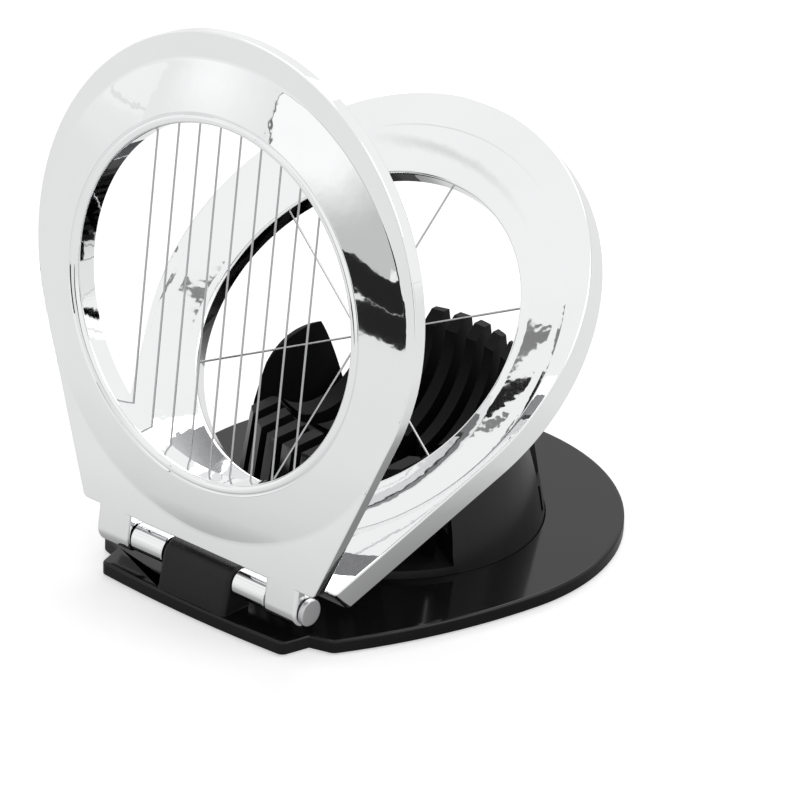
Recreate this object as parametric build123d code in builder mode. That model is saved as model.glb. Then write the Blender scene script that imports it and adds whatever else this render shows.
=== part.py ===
# Two-way egg slicer: a slotted egg cup on a flat base, a slicing frame and a wedge frame on one hinge pin.
# X runs along the hinge pin, Y runs from the pin to the back, Z is up. Millimetres.
import os
from math import acos, atan2, cos, hypot, radians, sin, sqrt

from build123d import *

os.makedirs("parts", exist_ok=True)

# Overall layout
aperture_radius = 34.5
hinge_reach = 20.0
slicing_opening = 84.0
wedge_opening = 42.5
centre = aperture_radius + hinge_reach

# Gaps between pieces
body_gap = 0.3
pin_gap = 0.05
seat_gap = 0.1
wire_gap = 0.05
crimp_gap = 0.01
sleeve_gap = 0.1
thread_gap = 0.02
overlap = 0.6
near = 0.01

# Wires and the crimped sleeves at their ends
wire_dia = 0.4
wire_pitch = 5.17
wire_count = 9
wire_cross_gap = 0.02
wire_room = 1.0
spoke_angles = (30.0, -30.0, 90.0)
spoke_step = wire_dia + wire_cross_gap
spoke_room = 0.36
sleeve_wall = 0.35
sleeve_dia = wire_dia + 2 * sleeve_wall
sleeve_length = 2.0

# Hinge, from the middle of the pin outwards
pin_dia = 3.0
block_half = 8.8
knuckle_width = 8.2
ear_width = 8.2
knuckle_start = block_half + body_gap
ear_start = knuckle_start + knuckle_width + body_gap
ear_end = ear_start + ear_width
barrel_radius = 3.1
block_round = 1.0
knuckle_radius = 2.9
pin_head_dia = 5.4
pin_head_thick = 1.0
pin_head_dome = 0.35
pin_inset = 0.5

# Outline shared by the two frames
frame_width = 13.3
outline_radius = aperture_radius + frame_width
outline_shift = 3.9
outline_centre = centre + outline_shift
corner_step = 4.0
corner_half = ear_end + corner_step
corner_reach = 4.8
corner_round = 1.2

# Hollow back of the frames and the ring that closes it
wall_width = 2.0
wall_seat = 1.0
skin = 1.5
hollow_width = 6.9
ring_thick = 0.6
ring_ledge = 0.8
hollow_inner = aperture_radius + wall_width
hollow_outer = hollow_inner + hollow_width
recess_radius = hollow_outer + ring_ledge

# Slicing frame, heights measured from the pin axis
slicing_back = 0.4
band_thick = 2.9
band_top = slicing_back + band_thick
ear_radius = band_top
crease_width = 12.5
crease_radius = aperture_radius + crease_width
lip_rise = 2.7
lip_top = band_top + lip_rise
lip_width = 2.2
lip_round = 0.8
lip_fall = 0.35
slicing_seat = slicing_back + ring_thick
slicing_wire_height = slicing_seat + sleeve_gap + sleeve_dia / 2

# Wedge frame, heights measured down from the pin axis
wedge_round = 0.4
dish_margin = 0.13
dish_depth = 1.6
dish_sag = 0.25
dish_round = 0.6
dish_skin = 0.96
spoke_lift = 0.6
wedge_top = slicing_back - body_gap
dish_low = wedge_top - dish_depth
dish_ceiling = dish_low - dish_skin
wedge_wire_height = dish_ceiling - sleeve_gap - sleeve_dia / 2 - spoke_step
wedge_seat = wedge_wire_height - spoke_step - sleeve_dia / 2 - sleeve_gap - spoke_lift
wedge_back = wedge_seat - ring_thick

# Base plate
foot_proud = 0.4
plate_thick = 2.7
plate_top = foot_proud + plate_thick
plate_width = 11.5
plate_radius = aperture_radius + plate_width
plate_shift = -1.5
plate_centre = centre + plate_shift
side_dip = 10.0
plate_round = 0.6
plate_margin = 0.2
plate_corner_back = 3.2
plate_corner = (corner_half + plate_margin, plate_corner_back)
plate_corner_round = 2.2
notch_inset = 0.6
notch_depth = 1.7
notch_point = (ear_end - notch_inset, notch_depth)
tab_inset = 2.2
tab_corner_gap = 0.6
tab_corner = (ear_end - tab_inset, tab_corner_gap - corner_reach)
tab_corner_round = 1.6
tab_gap = -0.4
tab_front = tab_gap - corner_reach
block_gap = -0.1
block_front = block_gap - corner_reach
foot_dia = 10.0
foot_thick = 1.0
foot_margin = 3.3
foot_spread = 45.0
foot_front = 16.5
pin_height = plate_top + body_gap - wedge_back

# Egg cup
cup_shift = -2.5
cup_centre = centre + cup_shift
cup_seat = 0.8
cup_foot_gap = 3.5
cup_foot_radius = aperture_radius - cup_foot_gap
cup_top_gap = 9.4
cup_top_radius = aperture_radius - cup_top_gap
slot_width = 2.45
slot_floor = pin_height + slicing_wire_height - wire_dia / 2 - wire_room
spoke_slot_width = 2.2
spoke_floor = pin_height + wedge_wire_height - spoke_step - wire_dia / 2 - spoke_room
end_wall = 0.4
wall_inner = cup_top_radius - end_wall
bowl_over = 4.3
bowl_half_length = wall_inner + bowl_over
fin_end = 4.35
bowl_half_width = cup_top_radius - fin_end
bowl_rise = 4.7
bowl_height = slot_floor + bowl_rise + bowl_half_width
rim_rise = 0.4
cup_top = bowl_height + rim_rise
rim_slope = 2.3
rim_angle = 45.0
ledge_drop = 10.7
ledge_height = cup_top - ledge_drop
ledge_back = 5.0
crown_drop = 2.7
crown_top = cup_top - crown_drop
crown_radius = 22.0
crown_back = 3.5
end_wall_front = 12.3
hub_radius = 4.5
sweep_start = -12.0
sweep_arc = 90.0

# Screws that hold the cup from below
screw_dia = 2.8
screw_head_dia = 5.2
screw_head_height = 1.4
screw_sink = 0.2
screw_cover = 1.45
screw_tip = slot_floor - screw_cover
screw_play = 0.4
screw_hole_dia = screw_dia + screw_play
screw_inset = 10.4
screw_circle = cup_foot_radius - screw_inset
screw_count = 3
drive_width = 0.9
drive_length = 3.2
drive_depth = 0.7

cup_axis = Axis((0, cup_centre, 0), (0, 0, 1))
pin_axis = Axis((0, 0, pin_height), (1, 0, 0))
far = 2 * outline_radius
full_turn = 360.0
quarter_turn = 90.0

# Planes through the pin axis: X along the pin, Y away from the pin, Z out of the frame's face
slicing_tilt = radians(slicing_opening)
wedge_tilt = radians(wedge_opening)
slicing_plane = Plane(
    origin=(0, 0, pin_height), x_dir=(1, 0, 0), z_dir=(0, -sin(slicing_tilt), cos(slicing_tilt))
)
wedge_plane = Plane(
    origin=(0, 0, pin_height), x_dir=(1, 0, 0), z_dir=(0, -sin(wedge_tilt), cos(wedge_tilt))
)


def side_plane(plane, x):
    """Plane square to the pin at x: local X away from the pin, local Y out of the frame's face."""
    return Plane(origin=plane.from_local_coords((x, 0, 0)), x_dir=plane.y_dir, z_dir=plane.x_dir)


def ring_plane(plane):
    """Plane through the middle of the aperture: local X is the radius, local Y out of the frame's face."""
    return Plane(origin=plane.from_local_coords((0, centre, 0)), x_dir=plane.x_dir, z_dir=-plane.y_dir)


def ring_axis(plane):
    """Axis of the aperture."""
    return Axis(plane.from_local_coords((0, centre, 0)), plane.z_dir)


def wire_plane(plane, x, y, height, angle):
    """Plane square to a wire that runs through (x, y) at the given angle to the pin."""
    along = plane.x_dir * cos(radians(angle)) + plane.y_dir * sin(radians(angle))
    return Plane(origin=plane.from_local_coords((x, y, height)), x_dir=plane.z_dir, z_dir=along)


def touch_point(radius, middle, corner):
    """Point where the straight side from a hinge corner runs into the round outline."""
    reach = hypot(corner[0], corner[1] - middle)
    turn = atan2(corner[1] - middle, corner[0]) + acos(radius / reach)
    return radius * cos(turn), middle + radius * sin(turn)


def half_chord(x, radius):
    """Half the length of the chord that lies x away from the middle of a circle."""
    return sqrt(radius**2 - x**2)


def sleeve_seat(x):
    """Distance from the middle of a wire to the inner face of its end sleeve."""
    return half_chord(max(abs(x) - sleeve_dia / 2, 0), hollow_inner + sleeve_gap)


# Places of the wires across the frames
wire_places = [(i - (wire_count - 1) / 2) * wire_pitch for i in range(wire_count)]
outer_wire = wire_places[-1]
spoke_levels = (0, 1, -1)
spoke_heights = [wedge_wire_height + level * spoke_step for level in spoke_levels]

# Places of the pads: two at the back on a circle, two behind the hinge corners
foot_circle = plate_radius - foot_dia / 2 - foot_margin
foot_angle = radians(foot_spread)
foot_back = (foot_circle * cos(foot_angle), plate_centre + foot_circle * sin(foot_angle))
foot_corner = (plate_corner[0] - foot_dia / 2, foot_front)
foot_places = [(side * x, y) for x, y in (foot_back, foot_corner) for side in (-1, 1)]

# Straight sides of the frames, and the wedge frame's dish that stays inside the sides' rounded edge
frame_touch = touch_point(outline_radius, outline_centre, (corner_half, corner_reach))
side_fall = (outline_centre - frame_touch[1]) / outline_radius
dish_radius = outline_radius - outline_shift * side_fall - wedge_round - dish_margin

# Places where the plate's round back runs into its arched sides
side_turn = radians(side_dip)
side_start = (plate_radius * cos(side_turn), plate_centre - plate_radius * sin(side_turn))

# Base plate with the hinge block in front
block_foot = foot_proud + overlap
block_touch = touch_point(barrel_radius, pin_height, (-block_front, block_foot))
with BuildPart() as hinge_block:
    with BuildSketch(Plane.YZ.offset(-block_half)):
        with BuildLine():
            Line((block_front, block_foot), (-block_touch[0], block_touch[1]))
            ThreePointArc(
                (-block_touch[0], block_touch[1]),
                (0, pin_height + barrel_radius),
                (barrel_radius, pin_height),
            )
            Polyline((barrel_radius, pin_height), (barrel_radius, block_foot), (block_front, block_foot))
        make_face()
    extrude(amount=2 * block_half)
    fillet(hinge_block.faces().filter_by(Axis.X).edges(), block_round)

with BuildPart() as base_plate:
    with BuildSketch(Plane.XY.offset(foot_proud)):
        with BuildLine():
            ThreePointArc(
                side_start, (0, plate_centre + plate_radius), (-side_start[0], side_start[1])
            )
            TangentArc(
                (-side_start[0], side_start[1]),
                (-plate_corner[0], plate_corner[1]),
                tangent=(sin(side_turn), -cos(side_turn)),
            )
            Polyline(
                (-plate_corner[0], plate_corner[1]),
                (-notch_point[0], notch_point[1]),
                (-tab_corner[0], tab_corner[1]),
            )
            ThreePointArc((-tab_corner[0], tab_corner[1]), (0, tab_front), (tab_corner[0], tab_corner[1]))
            Polyline(
                (tab_corner[0], tab_corner[1]),
                (notch_point[0], notch_point[1]),
                (plate_corner[0], plate_corner[1]),
            )
            TangentArc(side_start, plate_corner, tangent=(-sin(side_turn), -cos(side_turn)))
        make_face()
        fillet(vertices().filter_by(lambda v: abs(abs(v.X) - plate_corner[0]) < near), plate_corner_round)
        fillet(vertices().filter_by(lambda v: abs(v.Y - tab_corner[1]) < near), tab_corner_round)
    extrude(amount=plate_thick)
    fillet(base_plate.faces().sort_by(Axis.Z)[-1].edges(), plate_round)
    add(hinge_block.part)
    with BuildSketch(Plane.YZ):
        with Locations((0, pin_height)):
            Circle(pin_dia / 2)
    extrude(amount=far, both=True, mode=Mode.SUBTRACT)
    with BuildSketch(Plane.XY.offset(plate_top)):
        with Locations((0, cup_centre)):
            Circle(cup_foot_radius + seat_gap)
    extrude(amount=-cup_seat, mode=Mode.SUBTRACT)
    with Locations((0, cup_centre, foot_proud)):
        with PolarLocations(screw_circle, screw_count):
            Cylinder(screw_hole_dia / 2, far, mode=Mode.SUBTRACT)
            Cone(
                screw_head_dia / 2 + seat_gap + screw_sink,
                screw_dia / 2 + seat_gap,
                screw_head_height + screw_sink,
                align=(Align.CENTER, Align.CENTER, Align.MIN),
                mode=Mode.SUBTRACT,
            )
    with BuildSketch(Plane.XY.offset(foot_proud)):
        with Locations(*foot_places):
            Circle(foot_dia / 2 + seat_gap)
    extrude(amount=foot_thick - foot_proud, mode=Mode.SUBTRACT)

base_plate.part.label = "base_plate"
export_step(base_plate.part, "parts/base_plate.step")

# Anti-slip pads under the plate
with BuildPart() as foot_pads:
    with BuildSketch(Plane.XY):
        with Locations(*foot_places):
            Circle(foot_dia / 2)
    extrude(amount=foot_thick)
foot_pads.part.label = "foot_pads"
export_step(foot_pads.part, "parts/foot_pads.step")

# Paths that the slanted wedge wires sweep through the cup
with BuildPart() as spoke_paths:
    sweep_tilt = radians(sweep_start)
    sweep_plane = Plane(
        origin=(0, 0, pin_height), x_dir=(1, 0, 0), z_dir=(0, -sin(sweep_tilt), cos(sweep_tilt))
    )
    for angle in spoke_angles[:2]:
        with BuildSketch(sweep_plane):
            with Locations(Location((0, centre, 0), (0, 0, angle))):
                Rectangle(2 * aperture_radius, spoke_slot_width)
        revolve(axis=pin_axis, revolution_arc=sweep_arc)
    with Locations((0, centre, spoke_floor)):
        Box(far, far, far, align=(Align.CENTER, Align.CENTER, Align.MIN), mode=Mode.INTERSECT)

# Egg cup: round pedestal with an egg-shaped bowl, cut into fins by the wire slots
well_inner = outer_wire - slot_width / 2
with BuildPart() as egg_cup:
    with BuildSketch(Plane.XZ.offset(-cup_centre)):
        with BuildLine():
            Polyline(
                (0, plate_top - cup_seat),
                (cup_foot_radius, plate_top - cup_seat),
                (cup_foot_radius, plate_top),
                (cup_top_radius, cup_top),
                (0, cup_top),
                close=True,
            )
        make_face()
    revolve(axis=cup_axis, revolution_arc=full_turn)
    with BuildSketch(Plane.XZ.offset(-cup_centre)):
        with Locations((0, bowl_height)):
            Ellipse(bowl_half_length, bowl_half_width)
            Rectangle(2 * wall_inner, far, align=(Align.CENTER, Align.MAX), mode=Mode.INTERSECT)
    revolve(
        axis=Axis((0, cup_centre, bowl_height), (1, 0, 0)), revolution_arc=full_turn, mode=Mode.SUBTRACT
    )
    with BuildSketch(Plane.XY.offset(cup_top - rim_slope)):
        with Locations((0, cup_centre)):
            Ellipse(bowl_half_length, bowl_half_width)
    extrude(amount=rim_slope + overlap, taper=-rim_angle, mode=Mode.SUBTRACT)
    with Locations((0, cup_centre - ledge_back, ledge_height)):
        Box(
            2 * wall_inner, far, far, align=(Align.CENTER, Align.MAX, Align.MIN), mode=Mode.SUBTRACT
        )
    for side in (-1, 1):
        with BuildSketch(Plane.YZ.offset(side * wall_inner)):
            with Locations((cup_centre + crown_back, crown_top - crown_radius)):
                Rectangle(far, far, align=(Align.CENTER, Align.MIN))
                Circle(crown_radius, mode=Mode.SUBTRACT)
        extrude(amount=side * far, mode=Mode.SUBTRACT)
        with BuildSketch(Plane.YZ.offset(side * well_inner)):
            with Locations((cup_centre, slot_floor)):
                Rectangle(far, far, align=(Align.CENTER, Align.MIN))
        extrude(amount=side * (wall_inner - well_inner), mode=Mode.SUBTRACT)
        with BuildSketch(Plane.YZ.offset(side * well_inner)):
            with Locations((cup_centre - end_wall_front, spoke_floor)):
                Rectangle(far, far, align=(Align.MAX, Align.MIN))
        extrude(amount=side * far, mode=Mode.SUBTRACT)
    with Locations(*[(x, cup_centre, slot_floor) for x in wire_places[1:-1]]):
        Box(
            slot_width, far, far, align=(Align.CENTER, Align.CENTER, Align.MIN), mode=Mode.SUBTRACT
        )
    with Locations((0, centre, spoke_floor)):
        Box(
            slot_width, far, far, align=(Align.CENTER, Align.CENTER, Align.MIN), mode=Mode.SUBTRACT
        )
        Cylinder(
            hub_radius, far, align=(Align.CENTER, Align.CENTER, Align.MIN), mode=Mode.SUBTRACT
        )
    add(spoke_paths.part, mode=Mode.SUBTRACT)
    with Locations((0, cup_centre, 0)):
        with PolarLocations(screw_circle, screw_count):
            Cylinder(
                screw_dia / 2 + thread_gap,
                screw_tip + body_gap,
                align=(Align.CENTER, Align.CENTER, Align.MIN),
                mode=Mode.SUBTRACT,
            )
egg_cup.part.label = "egg_cup"
export_step(egg_cup.part, "parts/egg_cup.step")

# Screws that hold the cup to the plate
with BuildPart() as cup_screws:
    with Locations((0, cup_centre, foot_proud + screw_sink)):
        with PolarLocations(screw_circle, screw_count):
            Cone(
                screw_head_dia / 2,
                screw_dia / 2,
                screw_head_height,
                align=(Align.CENTER, Align.CENTER, Align.MIN),
            )
            Cylinder(
                screw_dia / 2,
                screw_tip - foot_proud - screw_sink,
                align=(Align.CENTER, Align.CENTER, Align.MIN),
            )
            Box(drive_length, drive_width, 2 * drive_depth, mode=Mode.SUBTRACT)
            Box(drive_width, drive_length, 2 * drive_depth, mode=Mode.SUBTRACT)
cup_screws.part.label = "cup_screws"
export_step(cup_screws.part, "parts/cup_screws.step")

# Hinge pin, pressed into the block, with its head at the right
head_start = ear_end + body_gap
pin_left = ear_end - pin_inset
with BuildPart() as hinge_pin:
    with BuildSketch(Plane.YZ.offset(-pin_left)):
        with Locations((0, pin_height)):
            Circle(pin_dia / 2 - crimp_gap)
    extrude(amount=pin_left + head_start)
    with BuildSketch(Plane.YZ.offset(head_start)):
        with Locations((0, pin_height)):
            Circle(pin_head_dia / 2)
    extrude(amount=pin_head_thick)
    fillet(hinge_pin.faces().sort_by(Axis.X)[-1].edges(), pin_head_dome)
hinge_pin.part.label = "hinge_pin"
export_step(hinge_pin.part, "parts/hinge_pin.step")

# Slicing frame: raised conical ring with a rounded lip, flat band, two ears on the pin, hollow back
cone_edge = aperture_radius + lip_width
cone_top = lip_top - lip_fall
cone_slope = (cone_top - band_top) / (crease_radius - cone_edge)
ceiling_inner = band_top + cone_slope * (crease_radius - hollow_inner) - skin
ceiling_outer = band_top + cone_slope * (crease_radius - hollow_outer) - skin
tongue = corner_reach + overlap
with BuildPart() as slicing_frame:
    with BuildSketch(slicing_plane.offset(slicing_back)):
        with BuildLine():
            ThreePointArc(
                frame_touch, (0, outline_centre + outline_radius), (-frame_touch[0], frame_touch[1])
            )
            Polyline(
                (-frame_touch[0], frame_touch[1]),
                (-corner_half, corner_reach),
                (corner_half, corner_reach),
                frame_touch,
            )
        make_face()
        fillet(vertices().filter_by(lambda v: abs(abs(v.X) - corner_half) < near), corner_round)
    extrude(amount=lip_top - slicing_back + overlap)
    with BuildSketch(ring_plane(slicing_plane)):
        with BuildLine():
            Line((aperture_radius, slicing_back - overlap), (aperture_radius, lip_top - lip_round))
            CenterArc(
                (aperture_radius + lip_round, lip_top - lip_round), lip_round, quarter_turn, quarter_turn
            )
            Polyline(
                (aperture_radius + lip_round, lip_top),
                (cone_edge, cone_top),
                (crease_radius, band_top),
                (far, band_top),
                (far, slicing_back - overlap),
                (aperture_radius, slicing_back - overlap),
            )
        make_face()
    revolve(axis=ring_axis(slicing_plane), revolution_arc=full_turn, mode=Mode.INTERSECT)
    for start in (-ear_end, ear_start):
        with BuildSketch(side_plane(slicing_plane, start)):
            Circle(ear_radius)
            with Locations((0, slicing_back)):
                Rectangle(tongue, band_thick, align=(Align.MIN, Align.MIN))
        extrude(amount=ear_width)
    with BuildSketch(ring_plane(slicing_plane)):
        with BuildLine():
            Polyline(
                (aperture_radius - overlap, slicing_back - overlap),
                (aperture_radius - overlap, slicing_seat),
                (hollow_inner, slicing_seat),
                (hollow_inner, ceiling_inner),
                (hollow_outer, ceiling_outer),
                (hollow_outer, slicing_seat),
                (recess_radius, slicing_seat),
                (recess_radius, slicing_back - overlap),
                close=True,
            )
        make_face()
    revolve(axis=ring_axis(slicing_plane), revolution_arc=full_turn, mode=Mode.SUBTRACT)
    with BuildSketch(side_plane(slicing_plane, 0)):
        Circle(pin_dia / 2 + pin_gap)
    extrude(amount=far, both=True, mode=Mode.SUBTRACT)
    for x in wire_places:
        with BuildSketch(wire_plane(slicing_plane, x, centre, slicing_wire_height, quarter_turn)):
            Circle(wire_dia / 2 + wire_gap)
        extrude(amount=sleeve_seat(x), both=True, mode=Mode.SUBTRACT)
slicing_frame.part.label = "slicing_frame"
export_step(slicing_frame.part, "parts/slicing_frame.step")

# Ring that closes the hollow back of the slicing frame
with BuildPart() as slicing_back_ring:
    with BuildSketch(slicing_plane.offset(slicing_back)):
        with Locations((0, centre)):
            Circle(recess_radius - seat_gap)
            Circle(aperture_radius + wall_seat, mode=Mode.SUBTRACT)
    extrude(amount=ring_thick)
slicing_back_ring.part.label = "slicing_back_ring"
export_step(slicing_back_ring.part, "parts/slicing_back_ring.step")

# Slicing wires, one node each, with crimped sleeves behind the aperture wall
for number, x in enumerate(wire_places, start=1):
    with BuildPart() as slicing_wire:
        with BuildSketch(wire_plane(slicing_plane, x, centre, slicing_wire_height, quarter_turn)):
            Circle(wire_dia / 2)
        extrude(amount=sleeve_seat(x) + sleeve_length, both=True)
    slicing_wire.part.label = f"slicing_wire_{number}"
    export_step(slicing_wire.part, f"parts/slicing_wire_{number}.step")

with BuildPart() as slicing_sleeves:
    for x in wire_places:
        for way in (-1, 1):
            seat = wire_plane(slicing_plane, x, centre, slicing_wire_height, quarter_turn)
            with BuildSketch(seat.offset(way * sleeve_seat(x))):
                Circle(sleeve_dia / 2)
                Circle(wire_dia / 2 + crimp_gap, mode=Mode.SUBTRACT)
            extrude(amount=way * sleeve_length)
slicing_sleeves.part.label = "slicing_sleeves"
export_step(slicing_sleeves.part, "parts/slicing_sleeves.step")

# Wedge frame: thicker ring with a dished face, two knuckles on the pin, hollow back
dish_middle = (aperture_radius + dish_radius) / 2
wedge_tongue = corner_reach + 2 * wedge_round
with BuildPart() as wedge_frame:
    with BuildSketch(wedge_plane.offset(wedge_back)):
        with BuildLine():
            ThreePointArc(
                frame_touch, (0, outline_centre + outline_radius), (-frame_touch[0], frame_touch[1])
            )
            Polyline(
                (-frame_touch[0], frame_touch[1]),
                (-corner_half, corner_reach),
                (corner_half, corner_reach),
                frame_touch,
            )
        make_face()
        fillet(vertices().filter_by(lambda v: abs(abs(v.X) - corner_half) < near), corner_round)
    extrude(amount=wedge_top - wedge_back)
    wedge_axis = Axis(wedge_plane.origin, wedge_plane.z_dir)
    fillet(wedge_frame.faces().sort_by(wedge_axis)[-1].edges(), wedge_round)
    for start in (-knuckle_start - knuckle_width, knuckle_start):
        with BuildSketch(side_plane(wedge_plane, start)):
            Circle(knuckle_radius)
            with Locations((0, wedge_top)):
                Rectangle(wedge_tongue, wedge_top + knuckle_radius, align=(Align.MIN, Align.MAX))
        extrude(amount=knuckle_width)
    with BuildSketch(wedge_plane):
        with Locations((0, centre)):
            Circle(aperture_radius)
    extrude(amount=far, both=True, mode=Mode.SUBTRACT)
    with BuildSketch(ring_plane(wedge_plane)):
        with BuildLine():
            ThreePointArc(
                (dish_radius, wedge_top),
                (dish_middle, wedge_top - dish_depth / 2 - dish_sag),
                (aperture_radius + dish_round, dish_low),
            )
            CenterArc(
                (aperture_radius + dish_round, dish_low - dish_round), dish_round, quarter_turn, quarter_turn
            )
            Polyline(
                (aperture_radius, dish_low - dish_round),
                (aperture_radius - overlap, dish_low - dish_round),
                (aperture_radius - overlap, wedge_top + overlap),
                (dish_radius, wedge_top + overlap),
                (dish_radius, wedge_top),
            )
        make_face()
    revolve(axis=ring_axis(wedge_plane), revolution_arc=full_turn, mode=Mode.SUBTRACT)
    with BuildSketch(ring_plane(wedge_plane)):
        with BuildLine():
            Polyline(
                (aperture_radius - overlap, wedge_back - overlap),
                (aperture_radius - overlap, wedge_seat),
                (hollow_inner, wedge_seat),
                (hollow_inner, dish_ceiling),
                (hollow_outer, dish_ceiling),
                (hollow_outer, wedge_seat),
                (recess_radius, wedge_seat),
                (recess_radius, wedge_back - overlap),
                close=True,
            )
        make_face()
    revolve(axis=ring_axis(wedge_plane), revolution_arc=full_turn, mode=Mode.SUBTRACT)
    with BuildSketch(side_plane(wedge_plane, 0)):
        Circle(pin_dia / 2 + pin_gap)
    extrude(amount=far, both=True, mode=Mode.SUBTRACT)
    for angle, height in zip(spoke_angles, spoke_heights):
        with BuildSketch(wire_plane(wedge_plane, 0, centre, height, angle)):
            Circle(wire_dia / 2 + wire_gap)
        extrude(amount=sleeve_seat(0), both=True, mode=Mode.SUBTRACT)
wedge_frame.part.label = "wedge_frame"
export_step(wedge_frame.part, "parts/wedge_frame.step")

# Ring that closes the hollow back of the wedge frame
with BuildPart() as wedge_back_ring:
    with BuildSketch(wedge_plane.offset(wedge_back)):
        with Locations((0, centre)):
            Circle(recess_radius - seat_gap)
            Circle(aperture_radius + wall_seat, mode=Mode.SUBTRACT)
    extrude(amount=ring_thick)
wedge_back_ring.part.label = "wedge_back_ring"
export_step(wedge_back_ring.part, "parts/wedge_back_ring.step")

# Wedge wires, one node each, crossing one above the other in the middle
for number, (angle, height) in enumerate(zip(spoke_angles, spoke_heights), start=1):
    with BuildPart() as wedge_wire:
        with BuildSketch(wire_plane(wedge_plane, 0, centre, height, angle)):
            Circle(wire_dia / 2)
        extrude(amount=sleeve_seat(0) + sleeve_length, both=True)
    wedge_wire.part.label = f"wedge_wire_{number}"
    export_step(wedge_wire.part, f"parts/wedge_wire_{number}.step")

with BuildPart() as wedge_sleeves:
    for angle, height in zip(spoke_angles, spoke_heights):
        for way in (-1, 1):
            seat = wire_plane(wedge_plane, 0, centre, height, angle)
            with BuildSketch(seat.offset(way * sleeve_seat(0))):
                Circle(sleeve_dia / 2)
                Circle(wire_dia / 2 + crimp_gap, mode=Mode.SUBTRACT)
            extrude(amount=way * sleeve_length)
wedge_sleeves.part.label = "wedge_sleeves"
export_step(wedge_sleeves.part, "parts/wedge_sleeves.step")
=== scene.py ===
from collections import namedtuple
from math import acos, atan2, cos, hypot, pi, radians, sin, tan

import bmesh
import bpy
from bpy.props import FloatProperty, FloatVectorProperty, IntProperty, PointerProperty
from mathutils import Matrix, Vector


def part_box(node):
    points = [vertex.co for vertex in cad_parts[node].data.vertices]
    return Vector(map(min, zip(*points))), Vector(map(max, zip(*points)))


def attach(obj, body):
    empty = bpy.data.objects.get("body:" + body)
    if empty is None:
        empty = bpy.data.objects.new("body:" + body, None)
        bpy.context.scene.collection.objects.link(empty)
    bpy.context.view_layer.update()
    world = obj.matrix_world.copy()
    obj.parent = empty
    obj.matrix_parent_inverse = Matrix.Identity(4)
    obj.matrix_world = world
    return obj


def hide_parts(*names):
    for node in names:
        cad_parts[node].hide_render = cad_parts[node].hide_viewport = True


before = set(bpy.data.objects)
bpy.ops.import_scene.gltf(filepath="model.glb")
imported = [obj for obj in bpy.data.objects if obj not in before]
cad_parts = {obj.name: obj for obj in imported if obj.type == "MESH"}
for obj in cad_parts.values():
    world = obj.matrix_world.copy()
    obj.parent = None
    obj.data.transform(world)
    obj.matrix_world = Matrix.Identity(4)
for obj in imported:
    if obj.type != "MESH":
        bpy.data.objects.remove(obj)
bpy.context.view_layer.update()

bl_info = {
    "name": "Two-way egg slicer",
    "version": (1, 0, 0),
    "blender": (4, 5, 0),
    "location": "View3D > Sidebar > Egg slicer",
    "description": "Models the rings, cup, base and pin of an egg slicer and gives each piece its finish",
    "category": "Object",
}

MM = 0.001
PIN_HEIGHT = (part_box("hinge_pin")[0][2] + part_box("hinge_pin")[1][2]) / 2
TINY = 0.002 * MM
ALONG_X, ALONG_Y, ALONG_Z = (1, 0, 0), (0, 1, 0), (0, 0, 1)

# Fine shape of the rings
BEAD_MEET = radians(35)
GROOVE_WIDTH = 0.45 * MM
GROOVE_BROW = 0.12 * MM
GROOVE_FOOT = 0.06 * MM
GROOVE_FOOT_SHARE = 0.6
BACK_EDGE = 0.2 * MM
OVERCUT = MM
BEYOND = 1.4
FUSE_INSET = 0.02 * MM
BORE_CLEAR = 0.4 * MM
RECESS_CLEAR = 0.5 * MM
TURNED_DEPTH = 0.004 * MM

# Steps round the curves
CORNER_STEPS = 8
OUTLINE_STEPS = 150
CREASE_STEPS = 6
SWELL_STEPS = 10
BEAD_STEPS = 14
BRIM_STEPS = 8
EYE_STEPS = 40
BORE_STEPS = 32
FLOOR_STEPS = 96
EYE_SEGMENTS = 5
RIM_SEGMENTS = 4
SOFT_SEGMENTS = 3

# Which edges and faces count as sharp, flat, upright, level or turned outwards
SHARP_ANGLE = radians(25)
FLAT_ANGLE = radians(0.5)
END_FACE = 0.999
UPRIGHT = 0.1
LEVEL = 0.8
OUTWARD = 0.8
FRAME_CREASE = radians(32)
PLASTIC_CREASE = radians(30)
PIN_CREASE = radians(40)
FLAT_WEIGHT = 90

LIGHT_AIM = (0, 0.05, 0.05)
CLIP_END = 50

Turn = namedtuple("Turn", "centre axis angle steps")
Card = namedtuple("Card", "name place facing along size shades")
Look = namedtuple(
    "Look", "smoothest roughest metallic patch shade specular swell ripple share depth",
    defaults=(0.0, 40.0, 0.9, 0.5, 60, 250, 0.2, 0.0))

RING_LOOK = Look(0.22, 0.36, metallic=1.0, patch=150, shade=0.7)
LOOKS = {
    "chrome_plating": Look(0.02, 0.05, metallic=1.0, shade=0.97, swell=50, ripple=240, share=0.4,
                           depth=0.06),
    "fin_plastic": Look(0.4, 0.52, patch=120, specular=0.12, swell=90, ripple=2200, depth=0.02),
    "cup_plastic": Look(0.18, 0.26, patch=90, specular=0.34, swell=60, ripple=1800, share=0.03,
                        depth=0.01),
    "base_plastic": Look(0.08, 0.14, patch=60, specular=0.28, swell=40, ripple=1500, share=0.02,
                         depth=0.01),
    "block_plastic": Look(0.38, 0.5, patch=120, specular=0.3, swell=80, ripple=2200, share=0.25,
                          depth=0.02),
    "pin_steel": Look(0.12, 0.22, metallic=1.0, patch=200, swell=200, ripple=1500, depth=0.004),
    "drawn_wire": Look(0.16, 0.28, metallic=1.0, patch=300),
    "crimped_sleeve": Look(0.3, 0.42, metallic=1.0, patch=300),
    "slicing_back_ring_steel": RING_LOOK,
    "wedge_back_ring_steel": RING_LOOK,
    "screw_steel": Look(0.25, 0.4, metallic=1.0, patch=300),
    "pad_rubber": Look(0.7, 0.9, patch=200, shade=0.7, swell=300, ripple=2600, share=0.8, depth=0.05),
}


# Properties

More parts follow.
